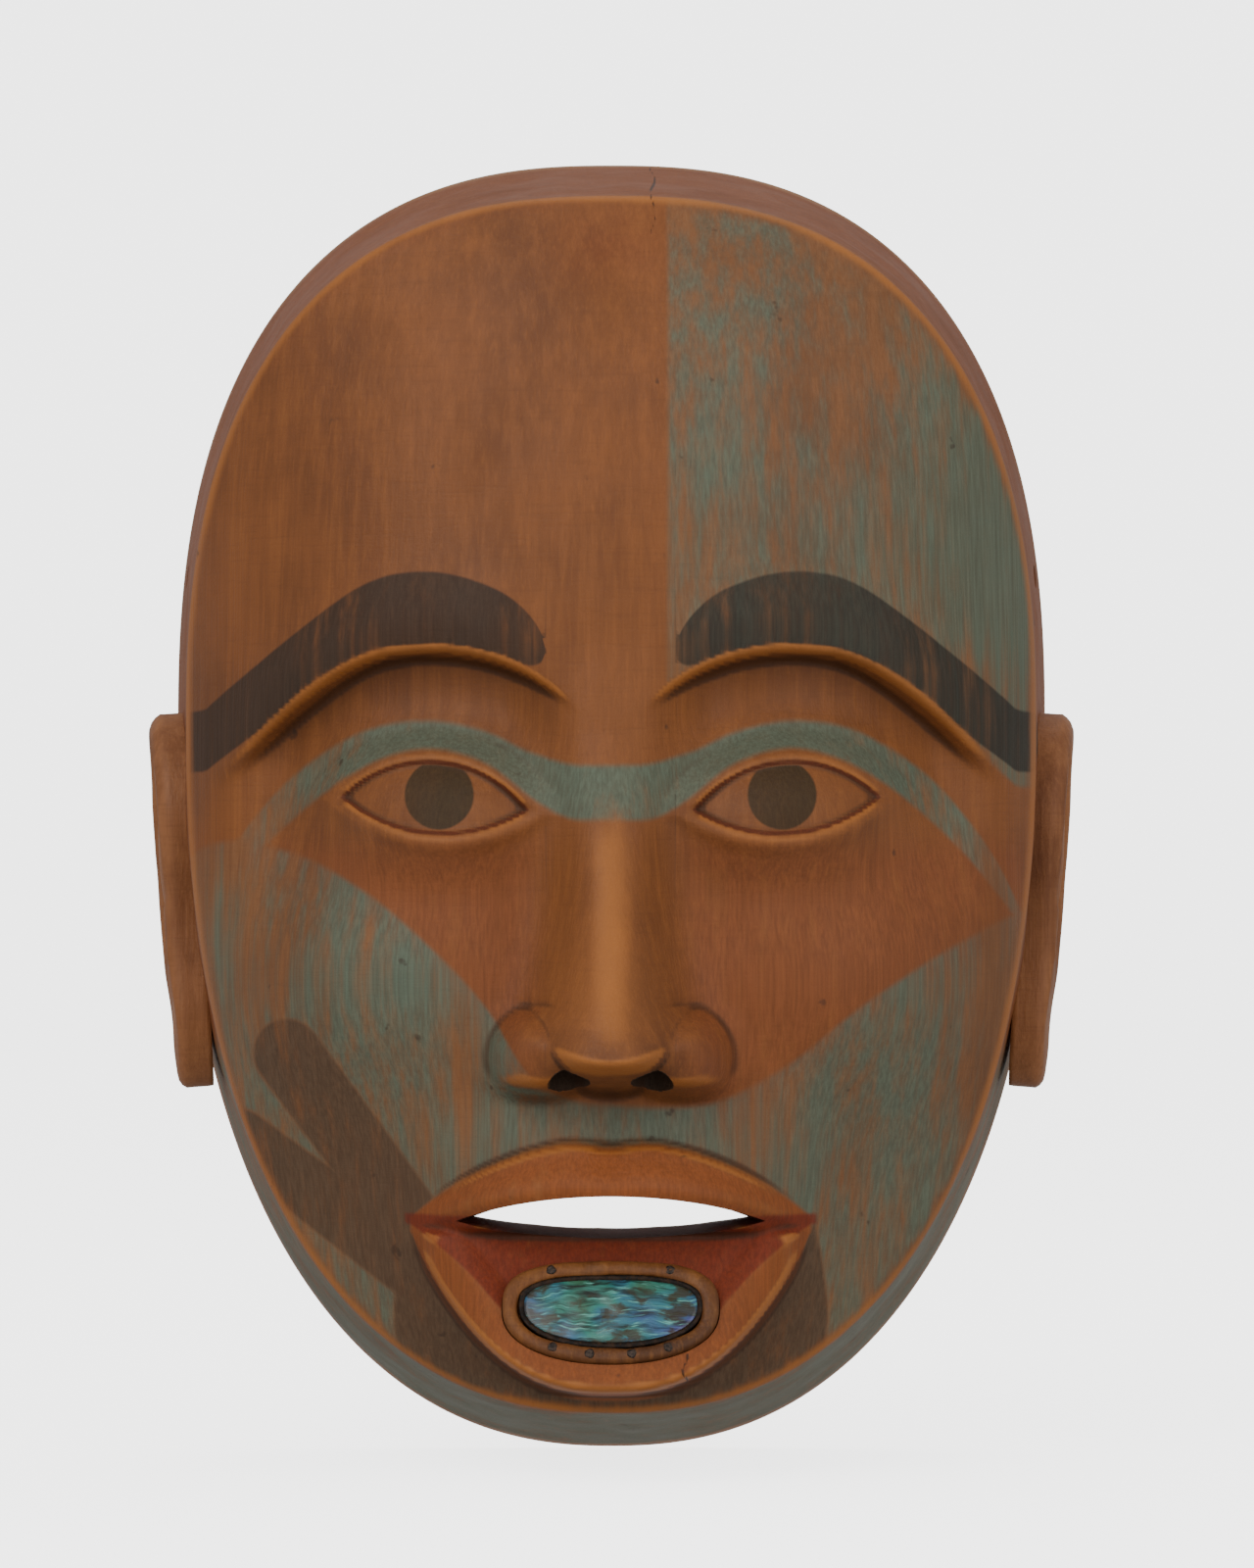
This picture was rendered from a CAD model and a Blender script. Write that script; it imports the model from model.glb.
"""Looks for a carved and painted wooden face mask with a shell-inlaid labret.

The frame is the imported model: the mask faces -Y, its back rim lies in the plane Y = 0, and Z is up.
Shapes are worked out in millimetres, from the same pattern as the solid mask, and become metres
when a mesh is made. In what follows ax is the distance from the middle line, forward the distance
in front of the back rim, and in the labret's own plane u goes across, v up and out towards the viewer.
"""

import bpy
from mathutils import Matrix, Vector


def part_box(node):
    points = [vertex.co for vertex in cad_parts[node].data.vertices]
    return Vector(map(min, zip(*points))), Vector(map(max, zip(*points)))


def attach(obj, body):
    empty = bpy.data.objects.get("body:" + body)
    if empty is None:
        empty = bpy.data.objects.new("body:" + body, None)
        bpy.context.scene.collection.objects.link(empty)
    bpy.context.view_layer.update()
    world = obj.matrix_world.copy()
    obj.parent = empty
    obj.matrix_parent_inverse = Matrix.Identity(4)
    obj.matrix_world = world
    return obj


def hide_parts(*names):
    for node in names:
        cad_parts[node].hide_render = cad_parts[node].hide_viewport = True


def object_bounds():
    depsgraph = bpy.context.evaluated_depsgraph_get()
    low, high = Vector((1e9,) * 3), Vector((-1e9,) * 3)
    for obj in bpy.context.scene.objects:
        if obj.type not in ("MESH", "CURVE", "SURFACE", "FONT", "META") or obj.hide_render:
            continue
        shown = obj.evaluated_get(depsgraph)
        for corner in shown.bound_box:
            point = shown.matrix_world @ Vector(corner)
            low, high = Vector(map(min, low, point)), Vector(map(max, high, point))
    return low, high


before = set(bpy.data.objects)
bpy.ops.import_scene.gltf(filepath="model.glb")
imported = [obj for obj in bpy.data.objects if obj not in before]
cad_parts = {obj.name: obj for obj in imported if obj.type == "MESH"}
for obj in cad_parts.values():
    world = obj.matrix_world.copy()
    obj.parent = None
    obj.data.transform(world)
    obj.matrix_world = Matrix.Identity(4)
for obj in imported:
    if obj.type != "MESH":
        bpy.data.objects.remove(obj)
CAD_BOX = [list(corner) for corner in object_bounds()]

import math

import bmesh
import bpy
import numpy as np
from mathutils import Vector

bl_info = {
    "name": "Carved Mask Looks",
    "version": (1, 0, 0),
    "blender": (4, 5, 0),
    "location": "View3D > Sidebar > Carved Mask",
    "description": "Builds the carved shell, ears and labret of a painted wooden mask",
    "category": "Object",
}


BODY = "root"
MM = 0.001
FAR = 20.0  # mm: no distance inside a painted area is kept larger than this

# ---- the block, as the solid mask has it, in millimetres ----
SHELL_LOW, SHELL_HIGH = (np.array(corner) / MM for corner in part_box("mask_shell"))
WIDTH = SHELL_HIGH[0] - SHELL_LOW[0]
HEIGHT = SHELL_HIGH[2] - SHELL_LOW[2]
DEPTH = -SHELL_LOW[1]
PATTERN = (168.0, 248.0, 112.0)  # width, height and depth that the pattern is drawn for
SKIN = 0.15  # the carved surface stays this far inside the solid's own box
CREASE, WORN_EDGE, PLANE_MARKS = 2.4, 1.3, 0.5  # of carved edges, rubbed corners and planed walls
SIDE_DRAFT = math.tan(math.radians(5.0))
CROWN_DRAFT = math.tan(math.radians(9.0))
RIM_WIDTH = 10.0
FACE_WALL = 13.0
WIDEST_AT = 15.0
CROWN_FULLNESS, JAW_FULLNESS = 2.5, 2.3

# ---- the mouth ----
LIP_Z = -76.0
MOUTH_HALF, MOUTH_RISE, MOUTH_DROP = 31.0, 5.0, 5.0
SLOT_HALF, SLOT_DROP, SLOT_FROM_FRONT = 26.0, 2.2, 24.0
LIP_HALF = 37.0

# ---- the labret ----
LABRET_HALF, LABRET_UP, LABRET_DOWN = 20.0, 9.4, 11.4
LABRET_FULLNESS_UP, LABRET_FULLNESS_DOWN = 2.9, 2.2
LABRET_TILT = math.radians(28.0)
LABRET_Z, LABRET_FORWARD = -91.5, 92.0
LIP_UNDER_LABRET = 7.0
LIP_BESIDE_LABRET = 9.0
RING_WIDTH = 3.3
PIN_ANGLES = (57.0, 123.0, 236.0, 258.0, 282.0, 304.0)

# ---- nostrils, ears and the holes for the tie ----
NOSTRIL_X, NOSTRIL_Z, NOSTRIL_BACK = 7.6, -50.0, 17.0
EAR_THICKNESS, EAR_HEIGHT, EAR_WIDTH, EAR_LEAN = 7.5, 71.0, 34.0, 4.0
TIE_HOLE_RADIUS, TIE_HOLE_UP, TIE_HOLE_FROM_RIM = 2.25, 44.0, 11.0


def step(t):
    """0 below 0, 1 above 1, and an even curve between."""
    t = np.clip(t, 0.0, 1.0)
    return t * t * (3 - 2 * t)


def over(value, width):
    """0 to 1 as value passes zero, across this width."""
    return step(value / width + 0.5)


def hill(x, z, at_x, at_z, half_x, half_z, fullness=2.0):
    """A rounded mound of height 1."""
    return np.exp(-(np.hypot((x - at_x) / half_x, (z - at_z) / half_z) ** fullness))


def arch(ax, half, fullness):
    """1 in the middle, falling to 0 at half."""
    return np.clip(1 - (ax / half) ** fullness, 0.0, 1.0)


def through(value, *points):
    """A smooth curve through a few (value, height) points, level with its ends beyond them."""
    at, height = np.array(points, float).T
    slope = np.gradient(height, at)
    value = np.clip(value, at[0], at[-1])
    k = np.clip(np.searchsorted(at, value, side="right") - 1, 0, len(at) - 2)
    gap = at[k + 1] - at[k]
    t = (value - at[k]) / gap
    rise = height[k + 1] - height[k]
    bend = (1 - t) * (slope[k] * gap - rise) - t * (slope[k + 1] * gap - rise)
    return height[k] + rise * t + t * (1 - t) * bend


def ripple(x, z, size, seed):
    """Gentle waves about 1 high and this long, the same each run."""
    draw = np.random.default_rng(seed)
    total = 0.0
    for _ in range(6):
        angle, phase = draw.uniform(0, 2 * math.pi, 2)
        length = size * draw.uniform(0.7, 1.5)
        along = x * math.cos(angle) + z * math.sin(angle)
        total = total + np.sin(along * 2 * math.pi / length + phase)
    return total / 3


# ---- the coats of paint, in the order they were laid ----
# the colour setting, the soft edge in mm, how readily it rubs off, how bare it is there, how solid it is
PAINTS = {
    "ruddy": ("red_stain", 9.0, 0.35, 0.94, 0.62),
    "jaw": ("blue_green", 6.0, 0.45, 0.90, 0.72),
    "green": ("blue_green", 1.4, 0.85, 0.80, 0.80),
    "dark": ("chin_grey", 0.9, 0.30, 0.94, 0.88),
    "brow": ("brow_black", 0.7, 0.25, 0.94, 0.92),
    "lips": ("lip_red", 0.9, 0.30, 0.94, 0.62),
    "red": ("inner_red", 0.9, 0.15, 0.94, 0.88),
    "iris": ("iris", 0.5, 0.05, 0.94, 0.92),
    "line": ("line_red", 0.35, 0.35, 0.94, 0.80),
    "black": ("brow_black", 1.0, 0.0, 0.0, 0.95),
}


# ---- the head and the carved face ----
def front_middle(z):
    """Depth of the bare head on the centre line: fullest at the eyes, sloping to crown and chin."""
    crown = 26 * np.clip((z - 20) / 104, 0, None) ** 2.4
    chin = 18 * np.clip((20 - z) / 144, 0, None) ** 3.5
    return 86 - crown - chin


def head_half_width(z):
    """Half the width of the bare head's vault."""
    return 85 - 13 * step((-15 - z) / 115)


def vault(ax, z, width, middle, side):
    """Depth of a vault: middle on the centre line, side at width, and straight on past it."""
    end = 0.95
    share = ax / width
    near = (1 - np.clip(share, 0, end) ** 2.3) ** 0.55
    slope = ((1 - end**2.3) ** 0.55 - (1 - (end - 0.001) ** 2.3) ** 0.55) / 0.001
    return side + (middle - side) * (near + slope * np.clip(share - end, 0, None))


def brow_edge(ax):
    """Height of the edge under the brow."""
    along = np.clip((ax - 2) / 74, 0, 1)
    return 12 + 16 * np.sin(along**0.8 * math.pi) ** 0.9 - 10 * step((ax - 40) / 40)


def eye_opening(ax, z):
    """Distance inside the almond between the eyelids, negative outside it."""
    half, rise, drop, lean = 17.0, 7.6, 5.4, math.radians(4)
    u = (ax - 32.5) * math.cos(lean) + (z - 0.6) * math.sin(lean)
    v = (z - 0.6) * math.cos(lean) - (ax - 32.5) * math.sin(lean)
    top = (half**2 + rise**2) / (2 * rise)
    bottom = (half**2 + drop**2) / (2 * drop)
    return np.minimum(top - np.hypot(u, v - rise + top), bottom - np.hypot(u, v + drop - bottom))


def nose_height(ax, z):
    """Height of the nose over the face: a ridge that widens to the tip, and two wings."""
    down = np.clip((14 - z) / 61, 0, 1)
    under = -46.0 + 4.0 * (ax / 13) ** 2
    ridge = (2.5 + 22.4 * down**1.2) * step((32 - z) / 22) * (1 - step((under - z) / 8.0))
    ridge = ridge * (1 - 0.035 * np.clip((-38 - z) / 8, 0, 2) ** 2)
    half = 8.0 + 6.0 * down**2.2
    ridge = ridge * np.exp(-((ax / half) ** 2.5))
    wing = 12.5 * hill(ax, z, 13.0, -46.0, 8.4, 8.6, 3.2) * (1 - step((-49.5 - z) / 6))
    return np.maximum(ridge, wing) + 0.25 * np.minimum(ridge, wing)


def upper_lip_top(ax):
    """Height of the upper lip's outline, dipping a little in the middle."""
    return LIP_Z + 15.0 * arch(ax, LIP_HALF, 2.0) ** 0.9 - 1.4 * np.exp(-((ax / 5) ** 2))


def lower_lip_edge(ax):
    """Height of the lower lip's outline, which keeps clear of the labret."""
    bottom = LABRET_Z - (LABRET_DOWN + LIP_UNDER_LABRET) * math.cos(LABRET_TILT)
    return LIP_Z - 2.0 + (bottom - LIP_Z + 2.0) * arch(ax, LIP_HALF, 2.4) ** 0.9


def lips_inside(ax, z):
    """Distance inside the outline of both lips, negative outside it."""
    return np.minimum(np.minimum(upper_lip_top(ax) - z, z - lower_lip_edge(ax)) * 0.85, LIP_HALF - ax)


def red_line(ax):
    """Height of the line on the lower lip where its red inside ends."""
    return through(ax, (0, -97), (16, -97), (20.5, -91.5), (27, -84.5), (34, -79), (37, -77))


def face_depth(x, z, crease=CREASE):
    """Depth of the carved face in front of the back rim. Crease is the width of its sharp edges."""
    x, z = x * PATTERN[0] / WIDTH, z * PATTERN[1] / HEIGHT
    ax = np.abs(x)
    depth = vault(ax, z, head_half_width(z), front_middle(z), 22)

    # brows, eyeballs, eyelids and the fold above them
    edge = brow_edge(ax)
    reach = step((ax - 5) / 16) * (1 - step((ax - 58) / 18))
    turn = crease * (1 + 1.3 * step((ax - 36) / 22))
    socket = np.exp(-((np.clip(edge - z, 0, None) / 30) ** 2.4))
    depth = depth - 9.0 * over(edge - z, turn) * socket * reach
    depth = depth + 2.2 * np.exp(-(((z - edge - 6) / 9) ** 2)) * reach
    depth = depth + 8.5 * hill(ax, z, 33, 0, 20, 12.5, 2.8)
    lid = eye_opening(ax, z)
    depth = depth + 0.9 * np.exp(-(((lid + 2.1) / 1.7) ** 2)) - 1.5 * over(lid, 1.1)
    depth = depth - 0.5 * np.exp(-(((lid + 6.3) / 1.1) ** 2)) * over(z - 3, 8)

    # cheekbones and the hollows under them, mouth, chin, the groove under the nose
    depth = depth + 5.5 * hill(ax, z, 43, -34, 25, 19, 2.2) - 3.0 * hill(ax, z, 47, -72, 14, 24, 2.2)
    depth = depth + 8.0 * hill(ax, z, 0, -74, 37, 25, 2.6) + 3.0 * hill(ax, z, 0, -116, 24, 8, 2.2)
    depth = depth - 1.1 * hill(ax, z, 0, -57.5, 3.4, 6.5, 2.6)

    # nose, with a groove round its wings
    wing = np.hypot((ax - 13) / 8.4, (z + 46) / 8.6)
    groove = np.exp(-(((wing - 1.16) / 0.13) ** 2)) * over(ax - 10, 5) * over(z + 50, 6)
    depth = depth + nose_height(ax, z) - 1.0 * groove

    # upper lip
    top, low = upper_lip_top(ax), LIP_Z - 2.0
    inside = over(top - z, crease * 0.8) * over(z - low, 2.0)
    full = np.sin(math.pi * step((z - low) / np.maximum(top - low, 1.0)))
    depth = depth + inside * (3.2 + 3.5 * full) * step((top - low - 2.0) / 12)

    # lower lip, flat in the labret's plane beside the labret, and hollowed a little inside its line
    edge = lower_lip_edge(ax)
    inside = over(low - z, 2.0) * over(z - edge, crease * 1.5) * step((low - edge) / 10)
    flat = np.exp(-((ax / (LABRET_HALF + LIP_BESIDE_LABRET)) ** 6))
    plane = LABRET_FORWARD - math.tan(LABRET_TILT) * (z - LABRET_Z)
    lip = flat * plane + (1 - flat) * (depth + 4.0)
    lip = lip - 0.35 * np.clip(z - red_line(ax), 0, 6)
    depth = depth + inside * (lip - depth)

    depth = depth + 0.16 * ripple(x, z, 26, 4) * (1 - inside)
    return depth * DEPTH / PATTERN[2]


# ---- the block's outline ----
def outline(a, b, forward, inset):
    """Where the block's outline lies in the direction (a, b) of a unit circle."""
    power = np.where(b > 0, CROWN_FULLNESS, JAW_FULLNESS)
    reach = (np.abs(a) ** power + np.abs(b) ** power) ** (-1 / power)
    half = WIDTH / 2 - inset - forward * SIDE_DRAFT
    tall = HEIGHT / 2 - np.sign(b) * WIDEST_AT - inset - forward * CROWN_DRAFT
    return half * a * reach, WIDEST_AT + tall * b * reach


def in_outline(x, z, forward, inset):
    """Direction of a point as outline() has it, and its share of the way out, 1 on the outline."""
    high = z > WIDEST_AT
    tall = HEIGHT / 2 - np.where(high, WIDEST_AT, -WIDEST_AT) - inset - forward * CROWN_DRAFT
    u, v = x / (WIDTH / 2 - inset - forward * SIDE_DRAFT), (z - WIDEST_AT) / tall
    power = np.where(high, CROWN_FULLNESS, JAW_FULLNESS)
    return np.arctan2(v, u), (np.abs(u) ** power + np.abs(v) ** power) ** (1 / power)


def where_it_meets(depth_at, a, b, inset):
    """How far forward the block's wall meets a carved surface, in each direction."""
    forward = np.full_like(a, 50.0)
    for _ in range(60):
        x, z = outline(a, b, forward, inset)
        forward = forward + 0.5 * (np.clip(depth_at(x, z), 4, DEPTH) - forward)
    return forward


def hollow_depth(x, z):
    """Depth of the hollow behind the face, with the flutes that a gouge leaves."""
    depth = vault(np.abs(x), z, head_half_width(z) - RIM_WIDTH, front_middle(z) - FACE_WALL, 26)
    lane = x / 11 + 0.25 * np.sin(z / 17) + 0.1 * ripple(x, z, 60, 8)
    bite = z / 24 + 0.5 * np.sin(np.floor(lane) * 2.4)
    return depth - 1.5 * (1 - np.sin(math.pi * (lane % 1))) - 1.0 * (bite % 1) ** 3


# ---- meshes ----
class Net:
    """Points and faces gathered for one mesh, in millimetres."""

    def __init__(self):
        self.points, self.faces, self.count, self.numbers = [], [], 0, {}

    def put(self, *xyz):
        """Adds points and gives back their numbers, in the shape of the arrays given."""
        xyz = np.broadcast_arrays(*xyz)
        self.points.append(np.stack([part.ravel() for part in xyz], axis=1).astype(float))
        numbers = self.count + np.arange(xyz[0].size).reshape(xyz[0].shape)
        self.count += xyz[0].size
        return numbers

    def grid(self, numbers, flip=False):
        """Faces over a grid of points."""
        a, b, c, d = numbers[:-1, :-1], numbers[:-1, 1:], numbers[1:, 1:], numbers[1:, :-1]
        quads = np.stack([a, b, c, d], axis=-1).reshape(-1, 4)
        self.faces += (quads[:, ::-1] if flip else quads).tolist()

    def band(self, one, other):
        """Faces between two closed loops of as many points."""
        quads = np.stack([one, np.roll(one, -1), np.roll(other, -1), other], axis=-1)
        self.faces += quads.tolist()

    def halving_band(self, fine, coarse):
        """Faces between a closed loop and one of half as many points."""
        ahead = np.roll(coarse, -1)
        even, odd, far = fine[0::2], fine[1::2], np.roll(fine, -1)[1::2]
        for corners in ((even, odd, coarse), (odd, far, ahead), (odd, ahead, coarse)):
            self.faces += np.stack(corners, axis=-1).tolist()

    def ring(self, loop, x, y, z):
        """A closed loop of points, joined to the loop before it if there is one."""
        fresh = self.put(x, y, z)
        if loop is not None:
            self.band(loop, fresh)
        return fresh

    def loft(self, rings):
        """A closed solid through rings of points."""
        loop = None
        for ring in rings:
            fresh = self.ring(loop, *ring)
            if loop is None:
                self.faces.append(fresh[::-1].tolist())
            loop = fresh
        self.faces.append(loop.tolist())
        return self

    def make(self, name):
        """The finished object, smooth, with its faces outwards."""
        mesh = bpy.data.meshes.new(name)
        mesh.from_pydata((np.concatenate(self.points) * MM).tolist(), [], self.faces)
        made = bpy.data.objects.new(name, mesh)
        bpy.context.scene.collection.objects.link(made)
        shape = bmesh.new()
        shape.from_mesh(mesh)
        bmesh.ops.recalc_face_normals(shape, faces=shape.faces)
        shape.to_mesh(mesh)
        shape.free()
        mesh.shade_smooth()
        write_numbers(mesh, self.numbers)
        return made


def write_numbers(mesh, layers):
    """Keeps a number for each point under each name, for the materials to read."""
    for name, value in layers.items():
        layer = mesh.attributes.new(name, "FLOAT", "POINT")
        layer.data.foreach_set("value", np.clip(value, -FAR, FAR).astype(np.float32))


def edge_of(numbers):
    """The closed loop round a grid."""
    return np.concatenate([numbers[0, :-1], numbers[:-1, -1], numbers[-1, :0:-1], numbers[:0:-1, 0]])


def places(count, busy):
    """Places from -1 to 1, closer together where busy is higher."""
    fine = np.linspace(-1, 1, 4001)
    need = np.cumsum(busy(fine))
    return np.interp(np.linspace(need[0], need[-1], count), need, fine)


def carve(piece, cutter):
    """Cuts one closed object out of another, its edges sharp, and tells which points lie in the cut."""
    for number, part in enumerate((piece, cutter)):
        part.data.materials.append(bpy.data.materials.new(f"side_{number}"))
    knife = piece.modifiers.new("carve", "BOOLEAN")
    knife.object, knife.operation = cutter, "DIFFERENCE"
    knife.solver, knife.material_mode = "EXACT", "TRANSFER"
    whole = len(piece.data.polygons)
    graph = bpy.context.evaluated_depsgraph_get()
    shape = bpy.data.meshes.new_from_object(piece.evaluated_get(graph))
    piece.modifiers.clear()
    piece.data = shape
    bpy.data.objects.remove(cutter)
    if len(shape.polygons) < whole // 2:
        raise RuntimeError("the shell was lost while its openings were cut")
    shape.shade_smooth()
    net = bmesh.new()
    net.from_mesh(shape)
    for edge in net.edges:
        edge.smooth = len({face.material_index for face in edge.link_faces}) == 1
    cut = np.array([any(face.material_index for face in point.link_faces) for point in net.verts])
    for face in net.faces:
        face.material_index = 0
    net.to_mesh(shape)
    net.free()
    return cut


def finish_piece(piece, slot, material, *nodes):
    """Puts a piece in the model: its body, the solid it stands for, its finish."""
    piece.data.materials.clear()
    piece.data.materials.append(material)
    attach(piece, BODY)
    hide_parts(*nodes)


# ---- the shell ----
# where the face needs its points closer together: middle and half width of the place, as shares of
# the way from the middle to the edge, and how much closer. Across they are the corners of eyes and
# lips; up and down, the eyes, the foot of the nose, the lips, and the labret with the chin.
COLUMNS, ROWS = 213, 289
BUSY_COLUMNS = ((0.38, 0.2, 1.1),)
BUSY_ROWS = ((-0.10, 0.09, 1.3), (-0.45, 0.06, 1.5), (-0.68, 0.16, 1.0), (0.1, 0.12, 0.6))


def crowding(at, busy_places):
    """How many times closer than elsewhere points lie at a place."""
    return 1 + sum(more * np.exp(-(((at - middle) / half) ** 2)) for middle, half, more in busy_places)


def shell_net(sizes):
    """The closed shell before its openings are cut, and its front edge by angle: radius and depth."""
    worn, marks = sizes.worn_edge / MM, sizes.plane_marks / MM
    s = places(COLUMNS, lambda at: crowding(np.abs(at), BUSY_COLUMNS) + 0.5 * (np.abs(at) < 0.3))
    t = places(ROWS, lambda at: crowding(at, BUSY_ROWS))
    s, t = np.meshgrid(s, t[::-1])
    a, b = s * np.sqrt(1 - t * t / 2), t * np.sqrt(1 - s * s / 2)
    r = np.hypot(a, b)
    a, b = a / np.maximum(r, 1e-9), b / np.maximum(r, 1e-9)

    def face(x, z):
        return face_depth(x, z, sizes.crease / MM)

    def spread(a, b, r, forward, inset, drawn_in):
        """Points over a carved surface, from its middle out to the wall."""
        x, z = outline(a, b, forward, inset)
        keep = r * (1 - r * r * drawn_in / np.hypot(x, z - WIDEST_AT))
        middle_x, middle_z = WIDTH / 2 * a, b * (HEIGHT / 2 - np.sign(b) * WIDEST_AT)
        x = keep * ((1 - r * r) * middle_x + r * r * x)
        return x, WIDEST_AT + keep * ((1 - r * r) * middle_z + r * r * (z - WIDEST_AT))

    turn = np.linspace(-math.pi, math.pi, 1441)
    around = np.cos(turn), np.sin(turn)
    front = where_it_meets(face, *around, SKIN)
    back = where_it_meets(hollow_depth, *around, RIM_WIDTH)

    net = Net()
    forward = np.interp(np.arctan2(b, a), turn, front)
    x, z = spread(a, b, r, forward, SKIN, worn)
    face_points = net.put(x, -face(x, z), z)
    net.grid(face_points)

    # the worn corner, the planed wall and the outer corner of the rim
    ea, eb, forward, x, z = (edge_of(part) for part in (a, b, forward, x, z))
    first = np.stack([x, face(x, z), z])
    corner, last = (
        np.stack([x, out, z]) for out in (forward, forward - worn) for x, z in [outline(ea, eb, out, SKIN)]
    )
    loop = edge_of(face_points)
    for along in (0.33, 0.67, 1.0):
        x, y, z = (1 - along) ** 2 * first + 2 * along * (1 - along) * corner + along**2 * last
        loop = net.ring(loop, x, -y, z)
    for along in np.linspace(0, 1, 11)[1:]:
        out = (1 - along) * (forward - worn) + along * worn
        waves = 1 + ripple(np.arctan2(eb, ea) * 90, out, 17, 5)
        uneven = np.clip(marks * math.sin(math.pi * along) ** 0.5 * waves, 0, 2)
        x, z = outline(ea, eb, out, SKIN + 0.5 * uneven)
        loop = net.ring(loop, x, -out, z)
    for out, inset in ((0.4 * worn, 0.08 * worn), (0.08 * worn, 0.4 * worn), (0.0, worn)):
        x, z = outline(ea, eb, out + SKIN, inset + SKIN)
        loop = net.ring(loop, x, -(out + SKIN), z)

    # the flat rim, its inner corner and the inner wall, at half as many points from here on
    a, b, r = a[::2, ::2], b[::2, ::2], r[::2, ::2]
    ea, eb = edge_of(a), edge_of(b)
    x, z = outline(ea, eb, 0.0, 4.0)
    ring = net.put(x, -(SKIN + 0.1 + 0.1 * ripple(x, z, 23, 6)), z)
    net.halving_band(loop, ring)
    loop = ring
    inner = RIM_WIDTH - 0.2
    for out, round_off in ((0.0, 1.0), (0.1, 0.4), (0.4, 0.1), (1.0, 0.0)):
        x, z = outline(ea, eb, out * worn + SKIN, inner - round_off * worn)
        loop = net.ring(loop, x, -(out * worn + SKIN), z)
    forward = np.interp(np.arctan2(b, a), turn, back)
    for along in (0.2, 0.4, 0.6, 0.8, 0.95):
        out = worn + (edge_of(forward) - worn) * along
        x, z = outline(ea, eb, out, inner + 0.25 * ripple(np.arctan2(eb, ea) * 90, out, 21, 7))
        loop = net.ring(loop, x, -out, z)
    x, z = spread(a, b, r, forward, RIM_WIDTH, 2.0)
    vault_points = net.put(x, -hollow_depth(x, z), z)
    net.grid(vault_points, flip=True)
    net.band(loop, edge_of(vault_points))

    x, z = outline(*around, front, SKIN)
    return net, (turn, np.hypot(x, z - WIDEST_AT), front)


def lens(half, rise, drop, count=40):
    """Points round a lens with level corners: an arch over the top and another under it."""
    x = half * np.sin(np.linspace(-math.pi / 2, math.pi / 2, count))
    over_it = rise * (1 - (x / half) ** 2)
    under_it = -drop * (1 - (x / half) ** 2)
    return np.concatenate([x, x[-2:0:-1]]), np.concatenate([over_it, under_it[-2:0:-1]])


def shell_openings():
    """One object holding everything that is cut right into the shell."""
    net = Net()
    lips_front = float(face_depth(0.0, LIP_Z + MOUTH_RISE))
    bevel_half = 0.3 * SLOT_HALF + 0.7 * MOUTH_HALF
    bevel_drop = 0.3 * SLOT_DROP + 0.7 * MOUTH_DROP
    rings = []
    for forward, half, drop in (
        (10.0, SLOT_HALF, SLOT_DROP),
        (lips_front - SLOT_FROM_FRONT, SLOT_HALF, SLOT_DROP),
        (lips_front - 6.0, bevel_half, bevel_drop),
        (lips_front, MOUTH_HALF, MOUTH_DROP),
        (DEPTH + 10, MOUTH_HALF, MOUTH_DROP),
    ):
        x, z = lens(half, MOUTH_RISE, drop)
        rings.append((x, -forward, LIP_Z + z))
    net.loft(rings)
    turn = np.linspace(0, 2 * math.pi, 32, endpoint=False)
    for side in (-1, 1):
        rings = []
        for rise, radius in ((-4.5, 4.1), (-1, 4.0), (2, 3.5), (5, 2.8), (8, 1.6)):
            x = side * (NOSTRIL_X + 0.06 * rise) + radius * np.cos(turn)
            y = -DEPTH + NOSTRIL_BACK - 2.0 + 0.45 * rise + 1.35 * radius * np.sin(turn)
            rings.append((x, y, NOSTRIL_Z + rise))
        net.loft(rings)
        y = -TIE_HOLE_FROM_RIM + TIE_HOLE_RADIUS * np.cos(turn)
        z = TIE_HOLE_UP + TIE_HOLE_RADIUS * np.sin(turn)
        net.loft([(side * (WIDTH / 2 + past), y, z) for past in (-20, 5)])
    net.loft([labret_point(*oval(0.0), out) for out in (-5.5, 12.0)])
    return net.make("openings")


# ---- the labret ----
LABRET_OUT = np.array((0.0, -math.cos(LABRET_TILT), math.sin(LABRET_TILT)))
LABRET_RISE = np.array((0.0, math.sin(LABRET_TILT), math.cos(LABRET_TILT)))
INLAY_MIDDLE = np.mean([np.array(corner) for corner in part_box("labret_inlay")], axis=0) / MM
LABRET_MIDDLE = INLAY_MIDDLE + 1.3 * LABRET_OUT + (LABRET_DOWN - LABRET_UP) / 2 * LABRET_RISE


def labret_point(u, v, out):
    """A point in the labret's own plane: across, up along its tilt, and out of it."""
    u, v, out = np.broadcast_arrays(u, v, out)
    place = LABRET_MIDDLE + v[..., None] * LABRET_RISE + out[..., None] * LABRET_OUT
    return place[..., 0] + u, place[..., 1], place[..., 2]


def oval(inset, count=120):
    """Points round the labret's outline, this far inside it."""
    turn = np.linspace(0, 2 * math.pi, count, endpoint=False)
    up = np.sin(turn) >= 0
    power = np.where(up, LABRET_FULLNESS_UP, LABRET_FULLNESS_DOWN)
    tall = np.where(up, LABRET_UP, LABRET_DOWN) - inset
    reach = (np.abs(np.cos(turn)) ** power + np.abs(np.sin(turn)) ** power) ** (-1 / power)
    return (LABRET_HALF - inset) * np.cos(turn) * reach, tall * np.sin(turn) * reach


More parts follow.
